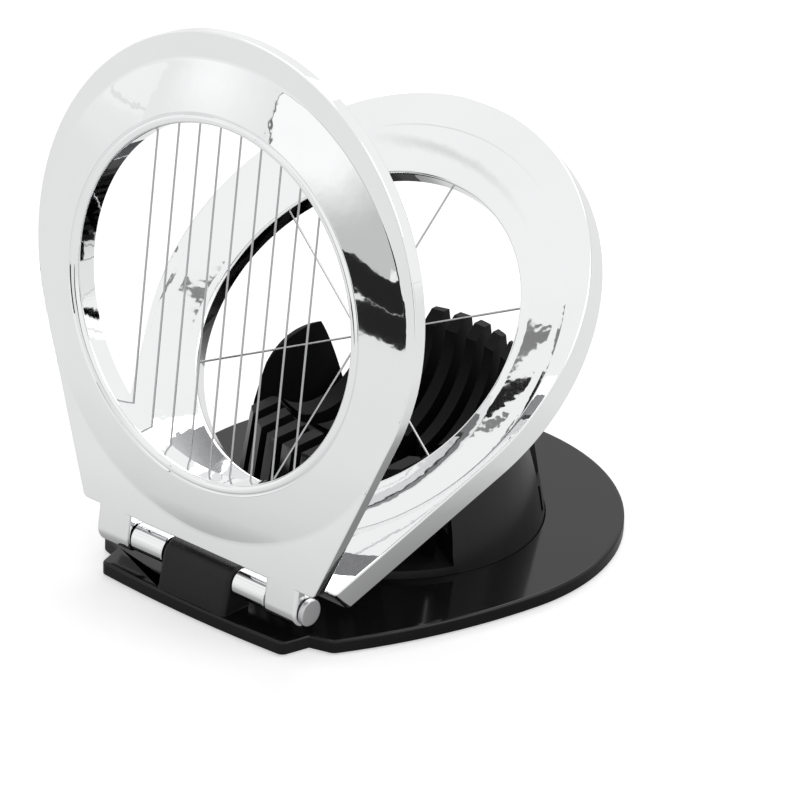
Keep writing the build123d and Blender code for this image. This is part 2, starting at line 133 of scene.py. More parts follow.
def length(name, description, millimetres):
    """A length in metres, given in millimetres."""
    return FloatProperty(name=name, description=description, default=millimetres * MM, precision=5,
                         subtype="DISTANCE", unit="LENGTH")


def angle(name, description, degrees):
    """An angle in radians, given in degrees."""
    return FloatProperty(name=name, description=description, default=radians(degrees),
                         subtype="ANGLE", unit="ROTATION")


def colour(name, description, *values):
    """A colour in linear light; one value is a grey."""
    return FloatVectorProperty(name=name, description=description, subtype="COLOR", size=3, min=0,
                               max=1, default=values if len(values) == 3 else values * 3)


def amount(name, description, value):
    """A plain factor."""
    return FloatProperty(name=name, description=description, default=value, precision=3,
                         subtype="FACTOR")


def power(name, description, watts):
    """The power of a light in watts."""
    return FloatProperty(name=name, description=description, default=watts, unit="POWER")


class EggSlicerRings(bpy.types.PropertyGroup):
    """Sizes that both chrome frames share."""

    aperture: length("Aperture radius", "Radius of the opening that the wires cross", 34.5)
    reach: length("Aperture reach", "Distance from the pin to the middle of the aperture", 54.5)
    outline: length("Outline radius", "Radius of the frame's round end", 47.8)
    outline_reach: length("Outline reach", "Distance from the pin to the middle of the round end", 58.4)
    corner_half: length("Corner half width", "Half the width of the frame at its hinge edge", 29.8)
    corner_reach: length("Hinge edge", "Distance from the pin's axis to the frame's hinge edge", 4.8)
    corner_round: length("Corner rounding", "Rounding of the two corners at the hinge edge", 1.2)
    seat_inner: length("Back seat", "Inner radius of the hollow behind the ring", 36.5)
    hollow_outer: length("Hollow radius", "Outer radius of the hollow behind the ring", 43.4)
    recess: length("Recess radius", "Radius of the recess that the back ring lies in", 44.2)
    pin_bore: length("Pin bore", "Radius of the holes for the hinge pin", 1.55)
    steps: IntProperty(name="Steps", description="Number of steps round the aperture", default=180,
                       min=24)


class EggSlicerSlicing(bpy.types.PropertyGroup):
    """Sizes of the slicing frame, with heights measured from the pin's axis."""

    opening: angle("Opening", "Angle at which the frame stands at rest", 84)
    back: length("Back", "Height of the frame's back face", 0.4)
    seat: length("Back ring seat", "Height of the seat behind the ring", 1.0)
    band: length("Band", "Height of the flat band", 3.3)
    lip: length("Lip", "Height of the bead round the aperture", 6.0)
    bead: length("Bead radius", "Rounding of the bead round the aperture", 1.0)
    groove: length("Groove", "Depth of the fine groove outside the bead", 0.2)
    edge: length("Edge rounding", "Rounding of the outer edge", 0.3)
    crease: length("Crease radius", "Radius at which the raised ring meets the flat band", 47)
    crease_run: length("Crease softness", "Length over which the crease is rounded", 0.5)
    bulge: length("Ring bulge", "Height of the ring's swell above a straight cone", 0.12)
    skin: length("Skin", "Thickness of the ring over its hollow", 1.5)
    ear_start: length("Ear start", "Distance of an ear's inner end from the middle", 17.6)
    ear_width: length("Ear width", "Width of an ear along the pin", 8.2)
    ear_edge: length("Ear edge", "Rounding of an ear's ends", 0.7)


class EggSlicerWedge(bpy.types.PropertyGroup):
    """Sizes of the wedge frame, with heights measured from the pin's axis."""

    opening: angle("Opening", "Angle at which the frame stands at rest", 42.5)
    back: length("Back", "Height of the frame's back face", -5.8)
    seat: length("Back ring seat", "Height of the seat behind the ring", -5.2)
    face: length("Face", "Height of the flat band round the dish", 0.1)
    dish: length("Dish", "Height of the dish at the aperture", -1.5)
    sag: length("Dish sag", "Depth of the dish below a straight cone", 0.25)
    ceiling: length("Hollow", "Height of the hollow's ceiling", -2.46)
    edge: length("Edge rounding", "Rounding of the outer edge", 0.4)
    crease: length("Crease radius", "Radius at which the dish meets the flat band", 45.6)
    inner_edge: length("Inner rounding", "Rounding of the aperture's edge", 0.6)
    crease_run: length("Crease softness", "Length over which the crease is rounded", 0.8)
    knuckle: length("Knuckle radius", "Radius of the knuckles on the pin", 2.9)
    knuckle_start: length("Knuckle start", "Distance of a knuckle's inner end from the middle", 9.1)
    knuckle_width: length("Knuckle width", "Width of a knuckle along the pin", 8.2)
    knuckle_edge: length("Knuckle edge", "Rounding of a knuckle's ends", 0.35)


class EggSlicerPlastic(bpy.types.PropertyGroup):
    """Edges of the cup, the base and the pin."""

    cup_edge: length("Cup edge", "Rounding of the cup's edges", 0.25)
    base_edge: length("Base edge", "Rounding of the base plate's edges", 0.25)
    pin_edge: length("Pin edge", "Rounding of the pin's ends", 0.55)
    block_height: length("Block height", "Height above which the base is the hinge block", 3.2)
    block_reach: length("Block reach", "Distance behind the pin to which the block goes", 9)


class EggSlicerFinish(bpy.types.PropertyGroup):
    """Colours of the finishes."""

    chrome: colour("Chrome", "Colour of the chrome plating", 0.88, 0.885, 0.89)
    wire: colour("Wire", "Colour of the cutting wires", 0.50, 0.50, 0.51)
    ring: colour("Back rings", "Colour of the rings that close the frames' backs", 0.11, 0.11, 0.113)
    pin: colour("Pin", "Colour of the hinge pin", 0.66, 0.66, 0.67)
    screw: colour("Screws", "Colour of the cup's screws", 0.55, 0.55, 0.56)
    sleeve: colour("Sleeves", "Colour of the sleeves on the wires' ends", 0.58, 0.57, 0.55)
    plastic: colour("Black plastic", "Colour of the cup and base", 0.009)
    rubber: colour("Rubber", "Colour of the pads under the base", 0.03)


class EggSlicerStage(bpy.types.PropertyGroup):
    """Camera and light."""

    azimuth: angle("Azimuth", "Camera's turn about the vertical, from the front", 40.747)
    elevation: angle("Elevation", "Camera's angle above the floor", 26.278)
    roll: angle("Roll", "Camera's turn about its own axis", 1.911)
    distance: length("Distance", "Camera's distance from what it looks at", 1176.69)
    target: FloatVectorProperty(name="Target", description="Point in the middle of the picture",
                                size=3, default=(15.363 * MM, 36.977 * MM, 36.827 * MM),
                                subtype="TRANSLATION", unit="LENGTH")
    lens: FloatProperty(name="Lens", description="Focal length in millimetres", default=277.5, min=10)
    floor_size: length("Floor", "Radius of the floor", 6000)
    floor_drop: length("Floor gap", "Gap between the pads and the floor", 0.05)
    floor_shade: amount("Floor shade", "Shade of the floor's matt surface", 0.85)
    floor_glow: amount("Floor glow", "Glow that the eye and the reflections see on the floor", 0.55)
    ambient: amount("Ambient", "Light from all round on matt surfaces", 0.45)
    key: power("Key light", "Power of the large softbox in watts", 9)
    fill: power("Fill light", "Power of the second softbox in watts", 5)
    dark_card: amount("Dark card", "Shade of the dark cards that the chrome reflects", 0.02)
    grey_card: amount("Grey card", "Shade of the grey cards that the chrome reflects", 0.25)
    pale_card: amount("Pale card", "Shade of the pale cards that the chrome reflects", 0.6)
    panel: amount("Panel", "Brightness of the pale panel that the chrome reflects", 1.1)


# Drawing and shaping

def deselect():
    """Leave edit mode with nothing selected."""
    if bpy.context.mode != "OBJECT":
        bpy.ops.object.mode_set(mode="OBJECT")
    bpy.ops.object.select_all(action="DESELECT")


def activate(piece):
    """Select one object alone."""
    deselect()
    piece.select_set(True)
    bpy.context.view_layer.objects.active = piece


def draw(name, start, strokes):
    """Draw a chain of edges from a start point, and leave it selected in edit mode."""
    deselect()
    bpy.ops.mesh.primitive_plane_add(size=MM, location=(0, 0, 0))
    piece = bpy.context.active_object
    piece.name = name
    bpy.ops.object.mode_set(mode="EDIT")
    bpy.ops.mesh.select_mode(type="VERT")
    bpy.ops.mesh.select_all(action="SELECT")
    bpy.ops.mesh.merge(type="CENTER")
    bpy.ops.transform.translate(value=start)
    point = Vector(start)
    for stroke in strokes:
        if isinstance(stroke, Turn):
            # The spin operator turns the other way round than Matrix.Rotation does.
            bpy.ops.mesh.spin(steps=stroke.steps, angle=-stroke.angle, center=stroke.centre,
                              axis=stroke.axis)
            centre = Vector(stroke.centre)
            point = centre + Matrix.Rotation(stroke.angle, 3, stroke.axis) @ (point - centre)
        else:
            step = Vector(stroke) - point
            bpy.ops.mesh.extrude_vertices_move(TRANSFORM_OT_translate={"value": step})
            point = Vector(stroke)
    bpy.ops.mesh.select_all(action="SELECT")
    return piece


def pick_edges(piece, test):
    """Select the edges of a piece that pass a test."""
    bpy.ops.mesh.select_mode(type="EDGE")
    bpy.ops.mesh.select_all(action="DESELECT")
    mesh = bmesh.from_edit_mesh(piece.data)
    mesh.normal_update()
    chosen = [edge for edge in mesh.edges if test(edge)]
    if not chosen:
        raise RuntimeError(f"nothing to select on {piece.name}")
    for edge in chosen:
        edge.select_set(True)
    mesh.select_flush_mode()
    bmesh.update_edit_mesh(piece.data)


def clean():
    """Merge doubles and turn all faces outwards."""
    bpy.ops.mesh.select_all(action="SELECT")
    bpy.ops.mesh.remove_doubles(threshold=TINY)
    bpy.ops.mesh.normals_make_consistent(inside=False)


def round_edges(edge, segments):
    """Round the selected edges, and leave edit mode."""
    bpy.ops.mesh.bevel(offset=edge, offset_type="OFFSET", segments=segments, profile=0.5,
                       affect="EDGES", clamp_overlap=False)
    clean()
    bpy.ops.object.mode_set(mode="OBJECT")


def combine(piece, other, operation):
    """Fuse a piece with another shape, or keep what both share."""
    activate(piece)
    both = piece.modifiers.new("Both", "BOOLEAN")
    both.operation = operation
    both.solver = "EXACT"
    both.object = other
    bpy.ops.object.modifier_apply(modifier=both.name)
    bpy.data.objects.remove(other)


def smooth(piece, crease):
    """Smooth shading that keeps the sharp edges sharp and the flat faces flat."""
    activate(piece)
    bpy.ops.object.shade_smooth_by_angle(angle=crease)
    flat = piece.modifiers.new("Flat", "WEIGHTED_NORMAL")
    flat.keep_sharp = True
    flat.weight = FLAT_WEIGHT
    bpy.ops.object.modifier_apply(modifier=flat.name)


def tilt(piece, opening):
    """Turn a frame that was modelled lying flat about the pin to where it stands at rest."""
    activate(piece)
    piece.rotation_euler.x = opening
    piece.location.z = PIN_HEIGHT
    bpy.ops.object.transform_apply(location=True, rotation=True, scale=True)


def outline_block(name, rings, top, back):
    """Block with a frame's outline."""
    corner = Vector((rings.corner_half, rings.corner_reach))
    across = Vector((0, rings.outline_reach)) - corner
    side = atan2(across.y, across.x) - acos(-rings.outline / across.length)
    low = rings.corner_reach + rings.corner_round
    half = corner.x - (rings.corner_round * (1 + sin(side))) / cos(side)
    quarter = side + pi / 2
    wide = (rings.outline * cos(side), rings.outline_reach + rings.outline * sin(side))
    small = (half + rings.corner_round * cos(side), low + rings.corner_round * sin(side))
    piece = draw(name, (-half, rings.corner_reach, top), [
        (half, rings.corner_reach, top),
        Turn((half, low, top), ALONG_Z, quarter, CORNER_STEPS),
        (*wide, top),
        Turn((0, rings.outline_reach, top), ALONG_Z, pi - 2 * side, OUTLINE_STEPS),
        (-small[0], small[1], top),
        Turn((-half, low, top), ALONG_Z, quarter, CORNER_STEPS),
    ])
    bpy.ops.mesh.remove_doubles(threshold=TINY)
    bpy.ops.mesh.edge_face_add()
    bpy.ops.mesh.extrude_region_move(TRANSFORM_OT_translate={"value": (0, 0, back - top)})
    clean()
    bpy.ops.object.mode_set(mode="OBJECT")
    return piece


def lug(name, radius, start, width, edge, top, bottom, tongue, bore):
    """Ear or knuckle: a round eye on the pin with a tongue to the frame."""
    first = Vector((max(radius ** 2 - top ** 2, 0) ** 0.5, top))
    last = Vector((max(radius ** 2 - bottom ** 2, 0) ** 0.5, bottom))
    sweep = (atan2(last.y, last.x) - atan2(first.y, first.x)) % (2 * pi)
    piece = draw(name, (start, tongue, top), [
        (start, *first),
        Turn((start, 0, 0), ALONG_X, sweep, EYE_STEPS),
        (start, tongue, bottom),
    ])
    bpy.ops.mesh.remove_doubles(threshold=TINY)
    bpy.ops.mesh.select_all(action="DESELECT")
    mesh = bmesh.from_edit_mesh(piece.data)
    for vert in mesh.verts:
        vert.select_set(abs(vert.co.y - tongue) < TINY)
    bmesh.update_edit_mesh(piece.data)
    bpy.ops.mesh.edge_face_add()
    bpy.ops.mesh.primitive_circle_add(vertices=BORE_STEPS, radius=bore, location=(start, 0, 0),
                                      rotation=(0, pi / 2, 0))
    bpy.ops.mesh.select_all(action="SELECT")
    bpy.ops.mesh.fill(use_beauty=True)
    bpy.ops.mesh.select_all(action="SELECT")
    bpy.ops.mesh.extrude_region_move(TRANSFORM_OT_translate={"value": (width, 0, 0)})
    clean()
    outside = bore + BORE_CLEAR

    def rim(e):
        ends = [abs(f.normal.x) > END_FACE for f in e.link_faces]
        return len(ends) == 2 and ends[0] != ends[1] and all(
            hypot(v.co.y, v.co.z) > outside and v.co.y < tongue + TINY for v in e.verts)

    pick_edges(piece, rim)
    round_edges(edge, EYE_SEGMENTS)
    return piece


def ring_frame(name, rings, section, top, back, edge):
    """Frame cut from a block of its outline by a turned ring, with rounded outer edges."""
    piece = outline_block(name, rings, top, back)
    start, *strokes = section
    ring = draw("ring", start, [*strokes, start])
    bpy.ops.mesh.remove_doubles(threshold=TINY)
    bpy.ops.mesh.spin(steps=rings.steps, angle=2 * pi, center=(0, rings.reach, 0), axis=ALONG_Z)
    clean()
    bpy.ops.object.mode_set(mode="OBJECT")
    combine(piece, ring, "INTERSECT")
    clear = rings.recess + RECESS_CLEAR

    def outer(e):
        level = sorted(abs(f.normal.z) for f in e.link_faces)
        return len(level) == 2 and level[0] < UPRIGHT and level[1] > LEVEL and all(
            hypot(v.co.x, v.co.y - rings.reach) > clear for v in e.verts)

    bpy.ops.object.mode_set(mode="EDIT")
    clean()
    pick_edges(piece, outer)
    round_edges(edge, RIM_SEGMENTS)
    return piece


def back_section(rings, own, inner_ceiling, outer_ceiling):
    """Back of a ring's section: the aperture's edge, the hollow and the recess."""
    y, low = rings.reach, own.back - OVERCUT
    return [
        (rings.aperture, y, own.seat + BACK_EDGE),
        (rings.aperture + BACK_EDGE, y, own.seat),
        (rings.seat_inner, y, own.seat),
        (rings.seat_inner, y, inner_ceiling),
        (rings.hollow_outer, y, outer_ceiling),
        (rings.hollow_outer, y, own.seat),
        (rings.recess, y, own.seat),
        (rings.recess, y, low),
        (BEYOND * rings.outline, y, low),
    ]


def slicing_section(rings, own):
    """Section of the slicing ring: flat band, soft crease, swell, groove, bead and back."""
    y = rings.reach
    foot = own.crease - own.crease_run
    bead_middle = (rings.aperture + own.bead, own.lip - own.bead)
    bead_foot = (bead_middle[0] + own.bead * cos(BEAD_MEET),
                 bead_middle[1] + own.bead * sin(BEAD_MEET))
    brow = (bead_foot[0] + GROOVE_WIDTH, bead_foot[1] + own.groove)
    slope = atan2(brow[1] - own.band, foot - brow[0])
    run = own.crease_run / tan(slope / 2)
    rise = (foot - own.crease_run * cos(slope), own.band + own.crease_run * sin(slope))
    chord = hypot(rise[0] - brow[0], rise[1] - brow[1])
    swell = (chord ** 2 / 4 + own.bulge ** 2) / (2 * own.bulge)
    half = 2 * atan2(2 * own.bulge, chord)
    middle = ((rise[0] + brow[0]) / 2, (rise[1] + brow[1]) / 2)
    deep = swell - own.bulge
    swell_centre = (middle[0] - deep * sin(slope), y, middle[1] - deep * cos(slope))
    outer_ceiling = own.band + (foot - rings.hollow_outer) * tan(slope) - own.skin
    return [
        (BEYOND * rings.outline, y, own.band),
        (own.crease, y, own.band),
        Turn((own.crease, y, own.band + run), ALONG_Y, slope, CREASE_STEPS),
        Turn(swell_centre, ALONG_Y, -2 * half, SWELL_STEPS),
        (brow[0] - GROOVE_BROW, y, brow[1] - own.groove),
        (bead_foot[0] + GROOVE_FOOT, y, bead_foot[1] - own.groove * GROOVE_FOOT_SHARE),
        (bead_foot[0], y, bead_foot[1]),
        Turn((bead_middle[0], y, bead_middle[1]), ALONG_Y, BEAD_MEET - pi, BEAD_STEPS),
        *back_section(rings, own, brow[1] - own.skin, outer_ceiling),
    ]


def wedge_section(rings, own):
    """Section of the wedge ring: flat band, soft crease, dish, rounded brim and back."""
    y = rings.reach
    brim = (rings.aperture + own.inner_edge, own.dish)
    foot = own.crease - own.crease_run
    straight = atan2(own.face - brim[1], foot - brim[0])
    width = hypot(own.face - brim[1], foot - brim[0])
    start_slope = straight + 2 * atan2(2 * own.sag, width)
    round_radius = own.crease_run / tan(start_slope / 2)
    begin = (foot - own.crease_run * cos(start_slope), own.face - own.crease_run * sin(start_slope))
    slope = atan2(begin[1] - brim[1], begin[0] - brim[0])
    chord = hypot(begin[1] - brim[1], begin[0] - brim[0])
    half = start_slope - slope
    middle = ((begin[0] + brim[0]) / 2, (begin[1] + brim[1]) / 2)
    deep = chord / 2 / sin(half) * cos(half)
    dish_centre = (middle[0] - deep * sin(slope), y, middle[1] + deep * cos(slope))
    return [
        (BEYOND * rings.outline, y, own.face),
        (own.crease, y, own.face),
        Turn((own.crease, y, own.face - round_radius), ALONG_Y, -start_slope, CREASE_STEPS),
        Turn(dish_centre, ALONG_Y, 2 * half, SWELL_STEPS),
        Turn((brim[0], y, own.dish - own.inner_edge), ALONG_Y, -pi / 2, BRIM_STEPS),
        *back_section(rings, own, own.ceiling, own.ceiling),
    ]


def soften_copy(node, name, edge):
    """Copy of a CAD node with its sharp edges rounded."""
    activate(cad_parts[node])
    bpy.ops.object.duplicate()
    piece = bpy.context.active_object
    piece.name = name
    piece.parent = None
    bpy.ops.object.mode_set(mode="EDIT")
    bpy.ops.mesh.select_all(action="SELECT")
    bpy.ops.mesh.remove_doubles(threshold=TINY / 2)
    bpy.ops.mesh.customdata_custom_splitnormals_clear()
    bpy.ops.mesh.dissolve_limited(angle_limit=FLAT_ANGLE)
    pick_edges(piece, lambda e: e.is_manifold and e.calc_face_angle(0) > SHARP_ANGLE)
    bpy.ops.mesh.bevel(offset=edge, segments=SOFT_SEGMENTS, affect="EDGES", clamp_overlap=True,
                       miter_outer="ARC")
    bpy.ops.object.mode_set(mode="OBJECT")
    piece.data.materials.clear()
    return piece


# Finishes

def math_node(nodes, operation):
    """Math node for one operation."""
    node = nodes.new("ShaderNodeMath")
    node.operation = operation
    return node


def group_node(nodes, group, **values):
    """Node for a shared group, with values set on its sockets."""
    node = nodes.new("ShaderNodeGroup")
    node.node_tree = group
    for label, value in values.items():
        node.inputs[label.replace("_", " ")].default_value = value
    return node


def new_group(name, inputs, outputs):
    """Empty shader node group with named sockets."""
    group = bpy.data.node_groups.new(name, "ShaderNodeTree")
    for label, kind, default in inputs:
        socket = group.interface.new_socket(label, in_out="INPUT", socket_type=kind)
        if default is not None:
            socket.default_value = default
    for label, kind in outputs:
        group.interface.new_socket(label, in_out="OUTPUT", socket_type=kind)
    return group, group.nodes.new("NodeGroupInput"), group.nodes.new("NodeGroupOutput")


def ripple_group():
    """Slow swells and fine ripples of a moulded or plated surface, as a height."""
    if "Ripple" in bpy.data.node_groups:
        return bpy.data.node_groups["Ripple"]
    group, entry, leave = new_group("Ripple", [
        ("Vector", "NodeSocketVector", None), ("Swell Scale", "NodeSocketFloat", 60.0),
        ("Ripple Scale", "NodeSocketFloat", 250.0), ("Ripple Share", "NodeSocketFloat", 0.2),
    ], [("Height", "NodeSocketFloat")])
    link = group.links.new
    swell = group.nodes.new("ShaderNodeTexNoise")
    swell.inputs["Detail"].default_value = 1.0
    ripple = group.nodes.new("ShaderNodeTexNoise")
    ripple.inputs["Detail"].default_value = 2.0
    share = math_node(group.nodes, "MULTIPLY_ADD")
    link(entry.outputs["Vector"], swell.inputs["Vector"])
    link(entry.outputs["Vector"], ripple.inputs["Vector"])
    link(entry.outputs["Swell Scale"], swell.inputs["Scale"])
    link(entry.outputs["Ripple Scale"], ripple.inputs["Scale"])
    link(ripple.outputs["Fac"], share.inputs[0])
    link(entry.outputs["Ripple Share"], share.inputs[1])
    link(swell.outputs["Fac"], share.inputs[2])
    link(share.outputs[0], leave.inputs["Height"])
    return group


def sheen_group():
    """Patchy change of roughness, as handling and polishing leave it."""
    if "Patchy Polish" in bpy.data.node_groups:
        return bpy.data.node_groups["Patchy Polish"]
    group, entry, leave = new_group("Patchy Polish", [
        ("Vector", "NodeSocketVector", None), ("Scale", "NodeSocketFloat", 40.0),
        ("Smoothest", "NodeSocketFloat", 0.1), ("Roughest", "NodeSocketFloat", 0.2),
    ], [("Roughness", "NodeSocketFloat"), ("Mask", "NodeSocketFloat")])
    link = group.links.new
    patches = group.nodes.new("ShaderNodeTexNoise")
    patches.inputs["Detail"].default_value = 4.0
    patches.inputs["Roughness"].default_value = 0.6
    spread = group.nodes.new("ShaderNodeMapRange")
    spread.inputs["From Min"].default_value = 0.3
    spread.inputs["From Max"].default_value = 0.7
    mix = group.nodes.new("ShaderNodeMapRange")
    link(entry.outputs["Vector"], patches.inputs["Vector"])
    link(entry.outputs["Scale"], patches.inputs["Scale"])
    link(patches.outputs["Fac"], spread.inputs["Value"])
    link(spread.outputs["Result"], mix.inputs["Value"])
    link(entry.outputs["Smoothest"], mix.inputs["To Min"])
    link(entry.outputs["Roughest"], mix.inputs["To Max"])
    link(mix.outputs["Result"], leave.inputs["Roughness"])
    link(spread.outputs["Result"], leave.inputs["Mask"])
    return group


def turned_group():
    """Fine turned lines round the vertical axis, as a height."""
    if "Turned Lines" in bpy.data.node_groups:
        return bpy.data.node_groups["Turned Lines"]
    group, entry, leave = new_group("Turned Lines", [
        ("Vector", "NodeSocketVector", None), ("Scale", "NodeSocketFloat", 600.0),
    ], [("Height", "NodeSocketFloat")])
    lines = group.nodes.new("ShaderNodeTexWave")
    lines.wave_type = "RINGS"
    lines.rings_direction = "Z"
    lines.inputs["Distortion"].default_value = 0.6
    lines.inputs["Detail Scale"].default_value = 0.2
    group.links.new(entry.outputs["Vector"], lines.inputs["Vector"])
    group.links.new(entry.outputs["Scale"], lines.inputs["Scale"])
    group.links.new(lines.outputs["Fac"], leave.inputs["Height"])
    return group


def add_bump(nodes, link, height, depth):
    """Raise a material's surface by a height."""
    bump = nodes.new("ShaderNodeBump")
    bump.inputs["Distance"].default_value = depth
    link(height, bump.inputs["Height"])
    link(bump.outputs["Normal"], nodes["Principled BSDF"].inputs["Normal"])


def finish(name, tint):
    """Material with patchy roughness, a slightly uneven colour and a rippled surface."""
    if name in bpy.data.materials:
        return bpy.data.materials[name]
    look = LOOKS[name]
    material = bpy.data.materials.new(name)
    material.use_nodes = True
    nodes, link = material.node_tree.nodes, material.node_tree.links.new
    shader = nodes["Principled BSDF"]
    shader.inputs["Metallic"].default_value = look.metallic
    shader.inputs["Specular IOR Level"].default_value = look.specular
    place = nodes.new("ShaderNodeTexCoord")
    polish = group_node(nodes, sheen_group(), Scale=look.patch, Smoothest=look.smoothest,
                        Roughest=look.roughest)
    blend = nodes.new("ShaderNodeMix")
    blend.data_type = "RGBA"
    blend.inputs["A"].default_value = (*[c * look.shade for c in tint], 1)
    blend.inputs["B"].default_value = (*tint, 1)
    link(place.outputs["Object"], polish.inputs["Vector"])
    link(polish.outputs["Roughness"], shader.inputs["Roughness"])
    link(polish.outputs["Mask"], blend.inputs["Factor"])
    link(blend.outputs["Result"], shader.inputs["Base Color"])
    if look.depth:
        ripple = group_node(nodes, ripple_group(), Swell_Scale=look.swell, Ripple_Scale=look.ripple,
                            Ripple_Share=look.share)
        link(place.outputs["Object"], ripple.inputs["Vector"])
        add_bump(nodes, link, ripple.outputs["Height"], look.depth * MM)
    return material


def turn_lines(material, opening, reach, depth):
    """Cut turned lines into a material, round the axis of a tilted ring."""
    nodes, link = material.node_tree.nodes, material.node_tree.links.new
    place = nodes.new("ShaderNodeTexCoord")
    level = nodes.new("ShaderNodeMapping")
    level.inputs["Rotation"].default_value[0] = -opening
    level.inputs["Location"].default_value = (
        0, -reach - sin(opening) * PIN_HEIGHT, -cos(opening) * PIN_HEIGHT)
    lines = group_node(nodes, turned_group())
    link(place.outputs["Object"], level.inputs["Vector"])
    link(level.outputs["Vector"], lines.inputs["Vector"])
    add_bump(nodes, link, lines.outputs["Height"], depth)


def seen_by_eye(nodes, link):
    """Mask of the rays that come from the camera, straight, mirrored or through."""
    paths = nodes.new("ShaderNodeLightPath")
    direct, through = math_node(nodes, "MAXIMUM"), math_node(nodes, "MAXIMUM")
    link(paths.outputs["Is Camera Ray"], direct.inputs[0])
    link(paths.outputs["Is Glossy Ray"], direct.inputs[1])
    link(direct.outputs[0], through.inputs[0])
    link(paths.outputs["Is Transmission Ray"], through.inputs[1])
    return through.outputs[0]


def wear(obj, material):
    """Give an object one material."""
    if not obj.material_slots:
        obj.data.materials.append(material)
    for slot in obj.material_slots:
        slot.material = material


def declare(piece, node, body):
    """Let a finished piece stand for its CAD node."""
    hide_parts(node)
    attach(piece, body)


# Operators

class EGGSLICER_OT_slicing_frame(bpy.types.Operator):
    """Model the upper frame, strung with parallel wires"""

    bl_idname = "egg_slicer.slicing_frame"
    bl_label = "Slicing frame"

    def execute(self, context):
        rings, own = context.scene.egg_rings, context.scene.egg_slicing
        piece = ring_frame("slicing_frame_shell", rings, slicing_section(rings, own),
                           own.lip + OVERCUT, own.back, own.edge)
        top = own.band - FUSE_INSET
        ears = [lug("ear", top, start, own.ear_width, own.ear_edge, top, own.back + FUSE_INSET,
                    rings.corner_reach + own.edge, rings.pin_bore)
                for start in (own.ear_start, -own.ear_start - own.ear_width)]
        for ear in ears:
            combine(piece, ear, "UNION")
        smooth(piece, FRAME_CREASE)
        tilt(piece, own.opening)
        wear(piece, finish("chrome_plating", context.scene.egg_finish.chrome))
        declare(piece, "slicing_frame", "slicer")
        return {"FINISHED"}


class EGGSLICER_OT_wedge_frame(bpy.types.Operator):
    """Model the lower frame, strung with three crossing wires"""

    bl_idname = "egg_slicer.wedge_frame"
    bl_label = "Wedge frame"

    def execute(self, context):
        rings, own = context.scene.egg_rings, context.scene.egg_wedge
        piece = ring_frame("wedge_frame_shell", rings, wedge_section(rings, own),
                           own.face + OVERCUT, own.back, own.edge)
        knuckles = [lug("knuckle", own.knuckle, start, own.knuckle_width, own.knuckle_edge,
                        own.face - FUSE_INSET, -own.knuckle, rings.corner_reach + own.edge,
                        rings.pin_bore)
                    for start in (own.knuckle_start, -own.knuckle_start - own.knuckle_width)]
        for knuckle in knuckles:
            combine(piece, knuckle, "UNION")
        smooth(piece, FRAME_CREASE)
        tilt(piece, own.opening)
        wear(piece, finish("chrome_plating", context.scene.egg_finish.chrome))
        declare(piece, "wedge_frame", "wedge")
        return {"FINISHED"}


class EGGSLICER_OT_egg_cup(bpy.types.Operator):
    """Model the slotted cup, matt between the fins and glossy outside"""

    bl_idname = "egg_slicer.egg_cup"
    bl_label = "Egg cup"

    def execute(self, context):
        black = context.scene.egg_finish.plastic
        piece = soften_copy("egg_cup", "egg_cup_shell", context.scene.egg_plastic.cup_edge)
        smooth(piece, PLASTIC_CREASE)
        wear(piece, finish("fin_plastic", black))
        piece.data.materials.append(finish("cup_plastic", black))
        middle = (Vector(piece.bound_box[0]) + Vector(piece.bound_box[6])) / 2
        for face in piece.data.polygons:
            outward = Vector((face.center.x - middle.x, face.center.y - middle.y, 0)).normalized()
            if outward.dot(face.normal) > OUTWARD:
                face.material_index = 1
        declare(piece, "egg_cup", "base")
        return {"FINISHED"}


class EGGSLICER_OT_base_plate(bpy.types.Operator):
    """Model the glossy base plate with its matt hinge block"""

    bl_idname = "egg_slicer.base_plate"
    bl_label = "Base plate"

    def execute(self, context):
        sizes, black = context.scene.egg_plastic, context.scene.egg_finish.plastic
        piece = soften_copy("base_plate", "base_plate_shell", sizes.base_edge)
        smooth(piece, PLASTIC_CREASE)
        wear(piece, finish("base_plastic", black))
        piece.data.materials.append(finish("block_plastic", black))
        for face in piece.data.polygons:
            if face.center.z > sizes.block_height and face.center.y < sizes.block_reach:
                face.material_index = 1
        declare(piece, "base_plate", "base")
        return {"FINISHED"}


class EGGSLICER_OT_hinge_pin(bpy.types.Operator):
    """Model the hinge pin with a rounded head"""

    bl_idname = "egg_slicer.hinge_pin"
    bl_label = "Hinge pin"

    def execute(self, context):
        piece = soften_copy("hinge_pin", "hinge_pin_shell", context.scene.egg_plastic.pin_edge)
        smooth(piece, PIN_CREASE)
        wear(piece, finish("pin_steel", context.scene.egg_finish.pin))
        declare(piece, "hinge_pin", "base")
        return {"FINISHED"}


class EGGSLICER_OT_wires(bpy.types.Operator):
    """Give the wires and their sleeves a steel finish"""

    bl_idname = "egg_slicer.wires"
    bl_label = "Wires"

    def execute(self, context):
        steel = finish("drawn_wire", context.scene.egg_finish.wire)
        crimp = finish("crimped_sleeve", context.scene.egg_finish.sleeve)
        for name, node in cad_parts.items():
            if "_wire_" in name:
                wear(node, steel)
            elif name.endswith("_sleeves"):
                wear(node, crimp)
        return {"FINISHED"}


class EGGSLICER_OT_back_rings(bpy.types.Operator):
    """Give the rings behind the frames a dark turned steel finish"""

    bl_idname = "egg_slicer.back_rings"
    bl_label = "Back rings"

    def execute(self, context):
        scene = context.scene
        owners = {"slicing_back_ring": scene.egg_slicing, "wedge_back_ring": scene.egg_wedge}
        for name, own in owners.items():
            steel = finish(name + "_steel", scene.egg_finish.ring)
            turn_lines(steel, own.opening, scene.egg_rings.reach, TURNED_DEPTH)
            wear(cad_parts[name], steel)
        return {"FINISHED"}


